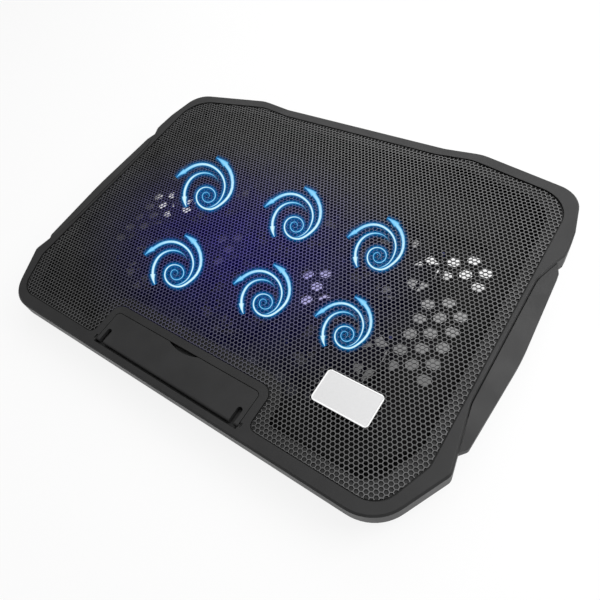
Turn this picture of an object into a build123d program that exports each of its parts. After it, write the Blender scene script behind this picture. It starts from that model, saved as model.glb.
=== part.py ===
"""Laptop cooling pad: a perforated deck over six fans, with a flip-up stop and fold-out rear feet.

Frame: millimetres, +X to the right, +Y to the back, +Z up. The origin is on the floor, below the
centre of the pad. The user sits at -Y.
"""

import os
from math import atan, cos, degrees, radians, sin, sqrt, tan

from build123d import *

os.makedirs("parts", exist_ok=True)

# ---------------------------------------------------------------- driving dimensions, in millimetres
# Overall
overall_width = 382.0  # across the side wings
overall_depth = 278.0  # front edge to the rear shoulders
overall_height = 26.0  # floor to the top face of the frame
pad_height = 2.0  # rubber pads under the shell

# Plan of the top frame
wing_reach = 4.4  # each side wing stands out of the frame by this much
front_corner_width = 21.6
front_corner_length = 45.3
front_corner_radius = 29.5
bump_radius = 6.0
waist_front = 59.0  # front edge to the front notch
waist_length = 144.0  # notch to notch
waist_depth = 8.1
waist_front_ramp = 29.4
waist_rear_ramp = 18.5
waist_radius = 30.0
notch_depth = 2.6
notch_radius = 2.0
rear_bump_run = 6.2  # rear notch to the rear bump
rear_side_run = 5.0  # straight side behind the rear bump
rear_side_lean = 16.3
rear_side_draw = 1.2
rear_corner_draw = 9.0
rear_corner_radius = 22.0
shoulder_x = 103.5
shoulder_run = 28.5
shoulder_drop = 3.5  # middle of the rear edge, in front of the shoulders
shoulder_radius = 30.0
rear_slope = 10.5  # degrees, outside each shoulder

# Section of the top frame
skirt_height = 12.5
skirt_wall = 2.4
top_edge_chamfer = 1.2
deck_thickness = 3.2
front_rim = 9.3
side_rim = 11.3
rear_rim = 8.7
ledge_width = 8.5
window_corner_width = 13.1
window_corner_length = 34.1
window_front_radius = 18.6
window_side_radius = 8.0
window_rear_radius = 26.0

# Perforated mesh
mesh_thickness = 0.8
mesh_recess = 0.6  # mesh below the frame's top face
mesh_gap = 0.8
hole_pitch = 34.0
hole_width = 24.6  # across the flats
mesh_border = 3.0  # least solid width outside the holes

# Blank badge plate on the mesh
badge_x = 115.6
badge_back = 56.7  # front edge to its centre
badge_width = 39.4
badge_depth = 23.2
badge_radius = 2.8
badge_thickness = 0.6

# Bay and flip-up laptop stop
bay_width = 145.6
bay_depth = 38.6
bay_radius = 8.4
bay_root_radius = 5.6
pocket_width = 134.2
pocket_front = 5.2
pocket_back = 33.0
pocket_depth = 4.0
pocket_floor = 2.0
pocket_radius = 3.7
stop_thickness = 3.0
stop_gap = 0.4
stop_axis_back = 8.8  # front edge to the hinge axis
stop_barrel_radius = 1.8
stop_sink = 0.1  # closed stop below the frame's top face
journal_radius = 1.2
journal_length = 2.0
running_fit = 0.05  # radial, every pin and shaft that turns
pin_sides = 12  # hinge pins are bars with this many sides, and so are their holes
flex_slot_width = 4.1
flex_slot_length = 10.0
flex_slot_inset = 3.0
notch_width = 27.0
notch_sagitta = 2.8
stop_rib = 1.0
stop_cells = 4

# Side wings
wing_top_drop = 0.5  # wing's inner edge below the frame's top face
wing_outer_drop = 3.2
wing_gap = 0.25
wing_wall = 2.2
wing_height = 7.0
wing_front_step = 4.5
wing_end_radius = 4.0
wing_peak = 70.0  # front notch to the widest place
wing_radius = 200.0
wing_front_draw = 3.4
wing_rear_draw = 3.4

# Bottom shell
shell_wall = 2.0
flange_gap = 0.3
tub_side_inset = 13.6
tub_front_inset = 14.0
tub_rear_inset = 20.0
tub_front_cut = 32.0
tub_rear_cut = 24.0
tub_corner_radius = 20.0
tub_draft = 10.0

# Fans, three across and two deep
fan_columns = 3
fan_rows = 2
fan_pitch_x = 86.0
fan_pitch_y = 76.0
fans_back = 130.0  # front edge to the middle of the fans
ring_radius = 36.0
ring_wall = 2.0
ring_height = 12.0
ring_sides = 18
strut_count = 3
strut_width = 4.0
motor_radius = 14.0
motor_height = 3.0
motor_sides = 12
shaft_radius = 1.25
shaft_sides = 10
hub_radius = 15.0
hub_height = 8.4
hub_lift = 0.6  # hub above the motor base
hub_sides = 16
blade_count = 7
blade_thickness = 1.2
blade_root_chord = 9.0
blade_tip_chord = 15.0
blade_sweep = 5.0  # tip runs ahead of the root by this much
blade_pitch = 22.0  # degrees from the plane of the fan
tip_clearance = 1.2
led_size = 2.0
led_height = 2.0
led_count = 2
tab_width = 7.0
tab_length = 6.0
tab_thickness = 2.4

# Fan guards in the shell floor
guard_spokes = 6
guard_rings = 2
guard_radius = 32.0
guard_hub_radius = 14.0
guard_bar = 2.4

# Vents in the shell floor, a block on each side of the fans
vent_width = 8.6  # across the flats
vent_column_pitch = 11.6
vent_row_pitch = 13.4
vent_inset = 53.7  # frame's side to the middle column
vent_back = 98.2  # front edge to the first vent of the outer columns
vent_rows = (0, 1, 2, 3, 4, 6, 7)  # places taken in each column beside the fans
vent_group = ((0, -1), (0, 0), (0, 1), (-1, 0.5), (1, -0.5))  # columns and rows where four fans meet

# Screw bosses between the deck and the shell
boss_width = 6.4
side_boss_inset = 8.2

# Control board, USB sockets and speed wheel on the rear edge
board_x = -38.0
board_width = 74.0
board_depth = 15.0
board_thickness = 1.4
socket_width = 13.2
socket_height = 5.7
socket_depth = 14.0
socket_wall = 0.35
socket_pitch = 20.0
socket_setback = 0.3
cutout_gap = 0.3
tongue_width = 11.1
tongue_thickness = 1.8
tongue_length = 9.0
wheel_x = -12.0
wheel_radius = 9.0
wheel_width = 3.2
wheel_reach = 1.8  # how far the wheel stands out of the rear edge
wheel_teeth = 16
wheel_tooth = 0.8
pot_size = 9.2
pot_height = 1.2
pot_post_radius = 1.5
wheel_lift = 0.2  # above the potentiometer's case

# Fold-out rear feet
foot_x = 100.0
foot_width = 69.2
foot_length = 29.0
foot_thickness = 5.0
foot_axis_back = 238.5  # front edge to the hinge axis
foot_gap = 0.4
foot_sink = 0.3
foot_pin_radius = 2.0
foot_pin_length = 1.6
foot_window_width = 40.0
foot_window_length = 10.0
tip_length = 5.0
tip_height = 4.0

# Rubber pads under the shell
rest_inset = 38.6  # frame's side to a pad's middle
rest_front = 38.0
rest_back = 228.0
rest_width = 10.0
rest_length = 30.0
rest_corner = 3.0

# ---------------------------------------------------------------- derived levels and places
front_y = -overall_depth / 2
frame_half = overall_width / 2 - wing_reach
frame_top = overall_height
skirt_bottom = frame_top - skirt_height
deck_bottom = frame_top - deck_thickness
mesh_top = frame_top - mesh_recess
mesh_bottom = mesh_top - mesh_thickness
shell_bottom = pad_height
shell_floor = shell_bottom + shell_wall
flange_top = skirt_bottom + shell_wall


def back(distance):
    """Y of a place that lies this far behind the front edge."""
    return front_y + distance


def rounding_loss(radius, slope_a, slope_b):
    """Height that rounding takes off a corner between two slopes, in degrees from level."""
    a, b = radians(slope_a), radians(slope_b)
    return radius * (tan((a + b) / 2) * sin(a) - 1 + cos(a))


def mirrored(half):
    """A closed outline's points and radii, from those of its right half."""
    both = half + [(-x, y, radius) for x, y, radius in reversed(half)]
    return [(x, y) for x, y, _ in both], [radius for _, _, radius in both]


# Rear edge: two shoulders, whose rounded tops lie at the overall depth
shoulder_loss = rounding_loss(shoulder_radius, rear_slope, rear_slope * 2 / 3)
shoulder_y = back(overall_depth) + shoulder_loss
rear_y = shoulder_y - shoulder_drop
waist_rear = waist_front + waist_length
rear_corner_x = frame_half - rear_corner_draw
rear_corner_y = shoulder_y - tan(radians(rear_slope)) * (rear_corner_x - shoulder_x)

frame_outline = mirrored(
    [
        (frame_half - front_corner_width, front_y, front_corner_radius),
        (frame_half, back(front_corner_length), bump_radius),
        (frame_half - notch_depth, back(waist_front), notch_radius),
        (frame_half - waist_depth, back(waist_front + waist_front_ramp), waist_radius),
        (frame_half - waist_depth, back(waist_rear - waist_rear_ramp), 0),
        (frame_half - notch_depth, back(waist_rear), notch_radius),
        (frame_half, back(waist_rear + rear_bump_run), notch_radius),
        (frame_half, back(waist_rear + rear_bump_run + rear_side_run), 0),
        (
            frame_half - rear_side_draw,
            back(waist_rear + rear_bump_run + rear_side_run + rear_side_lean),
            0,
        ),
        (rear_corner_x, rear_corner_y, rear_corner_radius),
        (shoulder_x, shoulder_y, shoulder_radius),
        (shoulder_x - shoulder_run, rear_y, shoulder_radius),
    ]
)


def window_outline(inset):
    """Outline of the window in the deck, drawn in by inset on every side."""
    side = frame_half - side_rim - inset
    front = back(front_rim) + inset
    peak_x = shoulder_x - rear_rim / 2 - inset / 2
    peak_y = shoulder_y - rear_rim - inset
    return mirrored(
        [
            (bay_width / 2 + inset, back(bay_depth) + inset, bay_radius + inset),
            (bay_width / 2 + inset, front, bay_root_radius),
            (side - window_corner_width, front, window_front_radius),
            (side, front + window_corner_length, window_side_radius),
            (side, peak_y - tan(radians(rear_slope)) * (side - peak_x), window_rear_radius),
            (peak_x, peak_y, shoulder_radius),
            (peak_x - shoulder_run, peak_y - shoulder_drop, shoulder_radius),
        ]
    )


def plate(outline, bottom, top):
    """A flat plate with the given outline, between two levels."""
    points, radii = outline
    with BuildPart() as solid:
        with BuildSketch(Plane.XY.offset(bottom)):
            with BuildLine():
                FilletPolyline(*points, radius=radii, close=True)
            make_face()
        extrude(amount=top - bottom)
    return solid.part


def block(width, depth, height, x, y, bottom):
    """A box given by its size, its centre in plan and its bottom level."""
    with BuildPart(Plane(origin=(x, y, bottom))) as solid:
        Box(width, depth, height, align=(Align.CENTER, Align.CENTER, Align.MIN))
    return solid.part


def pin_profile(radius, hole=False, mode=Mode.ADD):
    """A pin's section with its corners at the radius, or a hole's with its flats there."""
    RegularPolygon(radius, pin_sides, major_radius=not hole, mode=mode)


def cross_rod(radius, x_low, x_high, y, z):
    """A cylinder along X."""
    with BuildPart() as solid:
        with BuildSketch(Plane.YZ.offset(x_low)):
            with Locations((y, z)):
                Circle(radius)
        extrude(amount=x_high - x_low)
    return solid.part


def cross_pin(radius, x_low, x_high, y, z, hole=False):
    """A hinge pin along X, or the hole for one."""
    with BuildPart() as solid:
        with BuildSketch(Plane.YZ.offset(x_low)):
            with Locations((y, z)):
                pin_profile(radius, hole)
        extrude(amount=x_high - x_low)
    return solid.part


def keep(part, name):
    """Label a finished piece and write it under its name."""
    part.label = name
    export_step(part, f"parts/{name}.step")


# ---------------------------------------------------------------- places that several pieces share
boss_places = [
    (side * x, y)
    for side in (-1, 1)
    for x, y in (
        (frame_half - side_boss_inset, back(front_corner_length)),
        (frame_half - side_boss_inset, back(waist_rear + rear_bump_run + rear_side_run)),
        (bay_width / 2 + boss_width * 3 / 2, back(front_rim)),
        (shoulder_x, rear_y - rear_rim),
    )
]
fan_centres = [
    (
        (column - (fan_columns - 1) / 2) * fan_pitch_x,
        back(fans_back) + (row - (fan_rows - 1) / 2) * fan_pitch_y,
    )
    for row in range(fan_rows)
    for column in range(fan_columns)
]
stop_axis_z = frame_top - stop_sink - stop_barrel_radius
stop_axis_y = back(stop_axis_back)
board_y = rear_y - skirt_wall - board_depth / 2
board_top = flange_top + board_thickness
sockets_x = [board_x - board_width / 2 + socket_width * 3 / 4 + step * socket_pitch for step in (0, 1)]
wheel_y = rear_y + wheel_reach - wheel_radius
wheel_bottom = board_top + pot_height + wheel_lift
foot_axis_y = back(foot_axis_back)
foot_axis_z = shell_bottom + foot_sink + foot_thickness / 2
pocket_top = shell_bottom + foot_sink + foot_thickness + foot_gap

# ---------------------------------------------------------------- top frame
pocket_points = mirrored(
    [
        (pocket_width / 2, back(pocket_front), 0),
        (pocket_width / 2, back(pocket_back), pocket_radius),
    ]
)
with BuildPart() as top_frame:
    add(plate(frame_outline, skirt_bottom, frame_top))
    chamfer(top_frame.faces().sort_by(Axis.Z)[-1].edges(), top_edge_chamfer)
    # Hollow inside the skirt, up to the deck
    with BuildSketch(Plane.XY.offset(skirt_bottom)):
        with BuildLine():
            FilletPolyline(*frame_outline[0], radius=frame_outline[1], close=True)
        make_face()
        offset(amount=-skirt_wall, kind=Kind.INTERSECTION)
    extrude(amount=skirt_height - deck_thickness, mode=Mode.SUBTRACT)
    # Window with the ledge that carries the mesh
    add(plate(window_outline(0), mesh_bottom, frame_top), mode=Mode.SUBTRACT)
    add(plate(window_outline(ledge_width), deck_bottom, frame_top), mode=Mode.SUBTRACT)
    # Tray under the bay, and the pocket that the stop lies in
    bay_middle = back((pocket_front + pocket_back) / 2)
    add(
        block(
            pocket_width + 2 * skirt_wall,
            pocket_back - pocket_front + 2 * skirt_wall,
            deck_bottom - (frame_top - pocket_depth - pocket_floor),
            0,
            bay_middle,
            frame_top - pocket_depth - pocket_floor,
        )
    )
    add(plate(pocket_points, frame_top - pocket_depth, frame_top), mode=Mode.SUBTRACT)
    # Bearings of the stop's journals, with a relief above each
    add(
        cross_pin(
            journal_radius + running_fit,
            -pocket_width / 2 - journal_length,
            pocket_width / 2 + journal_length,
            stop_axis_y,
            stop_axis_z,
            hole=True,
        ),
        mode=Mode.SUBTRACT,
    )
    add(
        block(
            pocket_width + 2 * journal_length,
            2 * journal_radius + 2 * stop_gap,
            stop_sink + stop_barrel_radius - journal_radius,
            0,
            stop_axis_y,
            stop_axis_z + journal_radius,
        ),
        mode=Mode.SUBTRACT,
    )
    # Screw bosses down to the shell's flange
    for x, y in boss_places:
        add(block(boss_width, boss_width, deck_bottom - flange_top, x, y, flange_top))
    # Openings in the rear skirt for the sockets and the speed wheel
    for x in sockets_x:
        add(
            block(
                socket_width + 2 * cutout_gap,
                4 * skirt_wall,
                socket_height + 2 * cutout_gap,
                x,
                rear_y,
                board_top - cutout_gap,
            ),
            mode=Mode.SUBTRACT,
        )
    add(
        block(
            2 * wheel_radius,
            4 * skirt_wall,
            wheel_width + 2 * cutout_gap,
            wheel_x,
            rear_y,
            wheel_bottom - cutout_gap,
        ),
        mode=Mode.SUBTRACT,
    )
keep(top_frame.part, "top_frame")


# ---------------------------------------------------------------- perforated mesh
hole_reach = hole_width / sqrt(3)
with BuildSketch() as hole_zone:
    zone_points, zone_radii = window_outline(mesh_gap + mesh_border + hole_reach)
    with BuildLine():
        FilletPolyline(*zone_points, radius=zone_radii, close=True)
    make_face()
    with Locations((badge_x, back(badge_back))):
        Rectangle(badge_width + 2 * hole_reach, badge_depth + 2 * hole_reach, mode=Mode.SUBTRACT)
zone_face = hole_zone.sketch.faces()[0]
row_step = hole_pitch * sqrt(3) / 2
rows = int(overall_depth / 2 / row_step)
columns = int(overall_width / 2 / hole_pitch) + 1
lattice_y = (back(front_rim) + shoulder_y - rear_rim) / 2
hole_grid = [
    ((column + row % 2 / 2) * hole_pitch, lattice_y + row * row_step)
    for row in range(-rows, rows + 1)
    for column in range(-columns, columns + 1)
]
hole_places = [place for place in hole_grid if zone_face.is_inside(Vector(*place))]
with BuildPart() as mesh_panel:
    add(plate(window_outline(mesh_gap), mesh_bottom, mesh_top))
    with BuildSketch(Plane.XY.offset(mesh_bottom)):
        with Locations(*hole_places):
            RegularPolygon(hole_reach, 6, rotation=30)
    extrude(amount=mesh_thickness, mode=Mode.SUBTRACT)
keep(mesh_panel.part, "mesh_panel")

# ---------------------------------------------------------------- blank badge plate
with BuildPart() as badge_plate:
    with BuildSketch(Plane(origin=(badge_x, back(badge_back), mesh_top))):
        RectangleRounded(badge_width, badge_depth, badge_radius)
    extrude(amount=badge_thickness)
keep(badge_plate.part, "badge_plate")

# ---------------------------------------------------------------- flip-up laptop stop
stop_half = pocket_width / 2 - stop_gap
stop_top = frame_top - stop_sink
stop_back = back(pocket_back) - stop_gap
with BuildPart() as laptop_stop:
    with BuildSketch(Plane.XY.offset(stop_top - stop_thickness)) as stop_plan:
        with BuildLine():
            FilletPolyline(
                (stop_half, stop_axis_y),
                (stop_half, stop_back),
                (-stop_half, stop_back),
                (-stop_half, stop_axis_y),
                radius=(0, pocket_radius - stop_gap, pocket_radius - stop_gap, 0),
                close=True,
            )
        make_face()
    extrude(amount=stop_thickness)
    # Shallow hollow underneath, crossed by ribs
    with BuildSketch(Plane.XY.offset(stop_top - stop_thickness)):
        inner_width = stop_half * 2 - 4 * flex_slot_inset - 2 * flex_slot_width
        cell = inner_width / stop_cells
        with Locations((0, (stop_axis_y + stop_back) / 2)):
            with GridLocations(cell, 1, stop_cells, 1):
                Rectangle(cell - stop_rib, (stop_back - stop_axis_y) * 0.6)
    extrude(amount=stop_thickness / 2, mode=Mode.SUBTRACT)
    add(cross_rod(stop_barrel_radius, -stop_half, stop_half, stop_axis_y, stop_axis_z))
    # Slots that let the ends flex, so that the journals snap in
    for side in (-1, 1):
        slot_x = side * (stop_half - flex_slot_inset - flex_slot_width / 2)
        with BuildSketch(Plane.XY.offset(stop_top)):
            with Locations((slot_x, stop_axis_y - stop_barrel_radius)):
                SlotOverall(2 * (flex_slot_length + stop_barrel_radius), flex_slot_width, rotation=90)
        extrude(amount=-2 * stop_thickness, mode=Mode.SUBTRACT)
    # Finger notch in the free edge
    arc_radius = (notch_width**2 / 4 + notch_sagitta**2) / (2 * notch_sagitta)
    with BuildSketch(Plane.XY.offset(stop_top)):
        with Locations((0, stop_back + arc_radius - notch_sagitta)):
            Circle(arc_radius)
    extrude(amount=-stop_thickness, mode=Mode.SUBTRACT)
    journal_reach = stop_half + stop_gap + journal_length - stop_gap
    add(cross_pin(journal_radius, -journal_reach, -stop_half, stop_axis_y, stop_axis_z))
    add(cross_pin(journal_radius, stop_half, journal_reach, stop_axis_y, stop_axis_z))
keep(laptop_stop.part, "laptop_stop")

# ---------------------------------------------------------------- side wings
wing_peak_y = back(waist_front + wing_peak)
front_run = wing_peak - wing_front_step
rear_run = waist_length - wing_peak - 2 * wing_end_radius
wing_slopes = (degrees(atan(wing_front_draw / front_run)), degrees(atan(wing_rear_draw / rear_run)))
wing_half = overall_width / 2 + rounding_loss(wing_radius, *wing_slopes)


def on_side(side, half):
    """Points and radii of an outline that lies on one side, from those of the right one."""
    return [(side * x, y) for x, y, _ in half], [radius for _, _, radius in half]


# Inner edge along the frame's waist, outer edge bowed
wing_bottom = frame_top - wing_top_drop - wing_height
wing_waist_x = frame_half - waist_depth + wing_gap
wing_outline = [
    (frame_half - notch_depth + wing_gap, back(waist_front), 0),
    (wing_half - wing_front_draw, back(waist_front + wing_front_step), wing_end_radius),
    (wing_half, wing_peak_y, wing_radius),
    (wing_half - wing_rear_draw, back(waist_rear - 2 * wing_end_radius), wing_end_radius),
    (frame_half - notch_depth + wing_gap, back(waist_rear), 0),
    (wing_waist_x, back(waist_rear - waist_rear_ramp), waist_radius),
    (wing_waist_x, back(waist_front + waist_front_ramp), waist_radius),
]
wing_hollow = [
    (wing_waist_x + wing_wall, back(waist_front + waist_front_ramp), 0),
    (wing_half - wing_front_draw - wing_wall, back(waist_front + waist_front_ramp), 0),
    (wing_half - wing_wall - wing_wall / 4, wing_peak_y, 0),
    (wing_half - wing_rear_draw - wing_wall, back(waist_rear - waist_rear_ramp), 0),
    (wing_waist_x + wing_wall, back(waist_rear - waist_rear_ramp), 0),
]
for side, hand in ((-1, "left"), (1, "right")):
    with BuildPart() as side_wing:
        add(plate(on_side(side, wing_outline), wing_bottom, frame_top - wing_top_drop))
        # Top face falls from the waist to the outer edge
        inner_x = frame_half - waist_depth
        with BuildSketch(Plane.XZ.offset(-back(waist_rear + waist_length))):
            with BuildLine():
                Polyline(
                    (side * inner_x, frame_top - wing_top_drop),
                    (side * wing_half, frame_top - wing_outer_drop),
                    (side * wing_half, frame_top),
                    (side * inner_x, frame_top),
                    close=True,
                )
            make_face()
        extrude(amount=3 * waist_length, mode=Mode.SUBTRACT)
        add(
            plate(on_side(side, wing_hollow), wing_bottom, frame_top - wing_outer_drop - wing_wall),
            mode=Mode.SUBTRACT,
        )
    keep(side_wing.part, f"side_wing_{hand}")


# ---------------------------------------------------------------- bottom shell
def tub(inset, bottom, top):
    """The drafted tub below the flange, drawn in by inset, between two levels."""
    with BuildPart() as solid:
        for level in (bottom, top):
            draw = inset + tub_draft * (flange_top - level) / (flange_top - shell_bottom)
            side = frame_half - tub_side_inset - draw
            front = back(tub_front_inset) + draw
            rear = rear_y - tub_rear_inset - draw
            with BuildSketch(Plane.XY.offset(level)):
                with BuildLine():
                    points, radii = mirrored(
                        [
                            (side - tub_front_cut, front, tub_corner_radius),
                            (side, front + tub_front_cut, tub_corner_radius),
                            (side, rear - tub_rear_cut, tub_corner_radius),
                            (side - tub_rear_cut, rear, tub_corner_radius),
                        ]
                    )
                    FilletPolyline(*points, radius=radii, close=True)
                make_face()
        loft(ruled=True)
    return solid.part


with BuildPart() as bottom_shell:
    with BuildSketch(Plane.XY.offset(skirt_bottom)):
        with BuildLine():
            FilletPolyline(*frame_outline[0], radius=frame_outline[1], close=True)
        make_face()
        offset(amount=-skirt_wall - flange_gap, kind=Kind.INTERSECTION)
    extrude(amount=shell_wall)
    add(tub(0, shell_bottom, flange_top))
    add(tub(shell_wall, shell_floor, flange_top + shell_wall), mode=Mode.SUBTRACT)
    # Pockets for the rear feet
    foot_middle = foot_axis_y - foot_length / 2 + foot_thickness / 2
    for side in (-1, 1):
        add(
            block(
                foot_width + 2 * foot_gap + 2 * shell_wall + 2 * foot_pin_length,
                foot_length + 2 * foot_gap + 2 * shell_wall,
                pocket_top + shell_wall - shell_bottom,
                side * foot_x,
                foot_middle,
                shell_bottom,
            )
        )
        add(
            block(
                foot_width + 2 * foot_gap,
                foot_length + 2 * foot_gap,
                pocket_top - shell_bottom,
                side * foot_x,
                foot_middle,
                shell_bottom,
            ),
            mode=Mode.SUBTRACT,
        )
        reach = foot_width / 2 + foot_gap + foot_pin_length
        add(
            cross_pin(
                foot_pin_radius + running_fit,
                side * foot_x - reach,
                side * foot_x + reach,
                foot_axis_y,
                foot_axis_z,
                hole=True,
            ),
            mode=Mode.SUBTRACT,
        )
    # Fan guards
    ring_step = (guard_radius - guard_hub_radius) / guard_rings
    half_turn = radians(180 / guard_spokes)
    with BuildSketch(Plane.XY.offset(shell_bottom)):
        with Locations(*fan_centres):
            with PolarLocations(0, guard_spokes):
                for ring in range(guard_rings):
                    low = guard_hub_radius + ring * ring_step
                    high = low + ring_step - guard_bar
                    low_half = low * tan(half_turn) - guard_bar / 2
                    high_half = high * tan(half_turn) - guard_bar / 2
                    Polygon(
                        (low, -low_half),
                        (high, -high_half),
                        (high, high_half),
                        (low, low_half),
                        align=None,
                    )
    extrude(amount=shell_wall, mode=Mode.SUBTRACT)
    # Vents beside the fans
    with BuildSketch(Plane.XY.offset(shell_bottom)):
        for column in (-1, 0, 1):
            for row in vent_rows:
                vent_middle = frame_half - vent_inset + column * vent_column_pitch
                vent_place = back(vent_back + (row + (1 - abs(column)) / 2) * vent_row_pitch)
                with Locations((-vent_middle, vent_place), (vent_middle, vent_place)):
                    RegularPolygon(vent_width / sqrt(3), 6)
        for column, row in vent_group:
            vent_place = back(fans_back + row * vent_row_pitch)
            for side in (-1, 1):
                with Locations((side * fan_pitch_x / 2 + column * vent_column_pitch, vent_place)):
                    RegularPolygon(vent_width / sqrt(3), 6)
    extrude(amount=shell_wall, mode=Mode.SUBTRACT)
keep(bottom_shell.part, "bottom_shell")

# ---------------------------------------------------------------- fans
ring_inner = ring_radius - ring_wall
blade_tip = ring_inner * cos(radians(180 / ring_sides)) - tip_clearance
motor_top = shell_floor + motor_height
hub_bottom = motor_top + hub_lift
hub_top = hub_bottom + hub_height
tab_angles = [45 + 180 * step for step in (0, 1)]

# One blade, a swept plate pitched about the radius through its middle
blade_root = hub_radius * cos(radians(180 / hub_sides)) - blade_thickness


def blade_corner(along):
    """Corner of the blade's tip this far along its chord, on the radius that all the tips reach."""
    return (sqrt(blade_tip**2 - (along * cos(radians(blade_pitch))) ** 2), along)


with BuildPart() as blade:
    with BuildSketch(Plane.XY.rotated((blade_pitch, 0, 0))):
        Polygon(
            (blade_root, -(blade_root_chord + blade_sweep) / 2),
            blade_corner((blade_sweep - blade_tip_chord) / 2),
            blade_corner((blade_sweep + blade_tip_chord) / 2),
            (blade_root, (blade_root_chord - blade_sweep) / 2),
            align=None,
        )
    extrude(amount=blade_thickness / 2, both=True)

for number, (x, y) in enumerate(fan_centres, start=1):
    centre = Plane(origin=(x, y, 0))
    with BuildPart() as fan_frame:
        with BuildSketch(centre.offset(shell_floor)):
            RegularPolygon(ring_radius, ring_sides)
            for angle in tab_angles:
                with PolarLocations(ring_radius, 1, angle):
                    Rectangle(tab_length * 2, tab_width)
            RegularPolygon(ring_inner, ring_sides, mode=Mode.SUBTRACT)
            with PolarLocations(ring_inner / 2, strut_count):
                Rectangle(ring_inner + ring_wall / 2, strut_width)
            RegularPolygon(motor_radius, motor_sides)
        extrude(amount=tab_thickness)
        with BuildSketch(centre.offset(shell_floor + tab_thickness)):
            RegularPolygon(ring_radius, ring_sides)
            RegularPolygon(ring_inner, ring_sides, mode=Mode.SUBTRACT)
        extrude(amount=ring_height - tab_thickness)
        with BuildSketch(centre.offset(shell_floor + tab_thickness)):
            RegularPolygon(motor_radius, motor_sides)
        extrude(amount=motor_height - tab_thickness)
        # Sleeve bearing
        with BuildSketch(centre.offset(motor_top)):
            RegularPolygon(shaft_radius + running_fit, shaft_sides, major_radius=False)
        extrude(amount=-motor_height, mode=Mode.SUBTRACT)
    keep(fan_frame.part, f"fan_frame_{number}")

    with BuildPart() as fan_rotor:
        with BuildSketch(centre.offset(hub_bottom)):
            RegularPolygon(hub_radius, hub_sides)
        extrude(amount=hub_height)
        with Locations((x, y, hub_bottom + hub_height / 2)):
            with PolarLocations(0, blade_count):
                add(blade.part)
        with BuildSketch(centre.offset(hub_bottom)):
            RegularPolygon(shaft_radius, shaft_sides)
        extrude(amount=-hub_lift - motor_height / 2)
    keep(fan_rotor.part, f"fan_rotor_{number}")

with BuildPart() as fan_leds:
    for x, y in fan_centres:
        with BuildSketch(Plane(origin=(x, y, shell_floor + ring_height))):
            with PolarLocations(ring_radius - ring_wall / 2 - led_size / 4, led_count, 30):
                Rectangle(led_size, led_size)
        extrude(amount=led_height)
keep(fan_leds.part, "fan_leds")

# ---------------------------------------------------------------- control board, sockets and speed wheel
with BuildPart() as control_board:
    add(block(board_width, board_depth, board_thickness, board_x, board_y, flange_top))
keep(control_board.part, "control_board")

socket_front = rear_y - socket_setback
socket_y = socket_front - socket_depth / 2
with BuildPart() as usb_tongues:
    for x in sockets_x:
        add(
            block(
                tongue_width,
                tongue_length,
                tongue_thickness,
                x,
                socket_front - socket_depth + socket_wall + tongue_length / 2,
                board_top + socket_height / 2,
            )
        )
keep(usb_tongues.part, "usb_tongues")
for x, use in zip(sockets_x, ("power", "device")):
    with BuildPart() as usb_socket:
        add(block(socket_width, socket_depth, socket_height, x, socket_y, board_top))
        add(
            block(
                socket_width - 2 * socket_wall,
                socket_depth,
                socket_height - 2 * socket_wall,
                x,
                socket_y + socket_wall,
                board_top + socket_wall,
            ),
            mode=Mode.SUBTRACT,
        )
    keep(usb_socket.part, f"usb_socket_{use}")

with BuildPart() as speed_pot:
    add(block(pot_size, pot_size, pot_height, wheel_x, wheel_y, board_top))
    with BuildSketch(Plane(origin=(wheel_x, wheel_y, board_top + pot_height))):
        pin_profile(pot_post_radius)
    extrude(amount=wheel_lift + wheel_width)
keep(speed_pot.part, "speed_pot")

with BuildPart() as speed_wheel:
    with BuildSketch(Plane(origin=(wheel_x, wheel_y, wheel_bottom))):
        tooth_turn = 360 / wheel_teeth
        tooth_points = []
        for tooth in range(wheel_teeth):
            for radius, turn in ((wheel_radius, 0), (wheel_radius - wheel_tooth, tooth_turn / 2)):
                angle = radians(tooth * tooth_turn + turn)
                tooth_points.append((radius * cos(angle), radius * sin(angle)))
        Polygon(*tooth_points, align=None)
        pin_profile(pot_post_radius + running_fit, hole=True, mode=Mode.SUBTRACT)
    extrude(amount=wheel_width)
keep(speed_wheel.part, "speed_wheel")

# ---------------------------------------------------------------- fold-out rear feet
for side, hand in ((-1, "left"), (1, "right")):
    with BuildPart() as rear_foot:
        foot_low = foot_axis_z - foot_thickness / 2
        plate_length = foot_length - foot_thickness / 2 - tip_length
        add(
            block(
                foot_width,
                plate_length,
                foot_thickness,
                side * foot_x,
                foot_axis_y - plate_length / 2,
                foot_low,
            )
        )
        add(
            cross_rod(
                foot_thickness / 2,
                side * foot_x - foot_width / 2,
                side * foot_x + foot_width / 2,
                foot_axis_y,
                foot_axis_z,
            )
        )
        add(
            block(
                foot_window_width,
                foot_window_length,
                foot_thickness,
                side * foot_x,
                foot_axis_y - plate_length / 2,
                foot_low,
            ),
            mode=Mode.SUBTRACT,
        )
        reach = foot_width / 2 + foot_gap + foot_pin_length - foot_gap / 2
        add(
            cross_pin(
                foot_pin_radius, side * foot_x - reach, side * foot_x + reach, foot_axis_y, foot_axis_z
            )
        )
    keep(rear_foot.part, f"rear_foot_{hand}")

    with BuildPart() as foot_tip:
        add(
            block(
                foot_width,
                tip_length,
                tip_height,
                side * foot_x,
                foot_axis_y - plate_length - tip_length / 2,
                foot_axis_z - tip_height / 2,
            )
        )
    keep(foot_tip.part, f"foot_tip_{hand}")

# ---------------------------------------------------------------- rubber pads
with BuildPart() as rest_pads:
    with BuildSketch() as pad_plan:
        for x in (rest_inset - frame_half, frame_half - rest_inset):
            for y in (back(rest_front), back(rest_back)):
                with Locations((x, y)):
                    Rectangle(rest_width, rest_length)
        chamfer(pad_plan.vertices(), rest_corner)
    extrude(amount=pad_height)
keep(rest_pads.part, "rest_pads")
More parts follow.
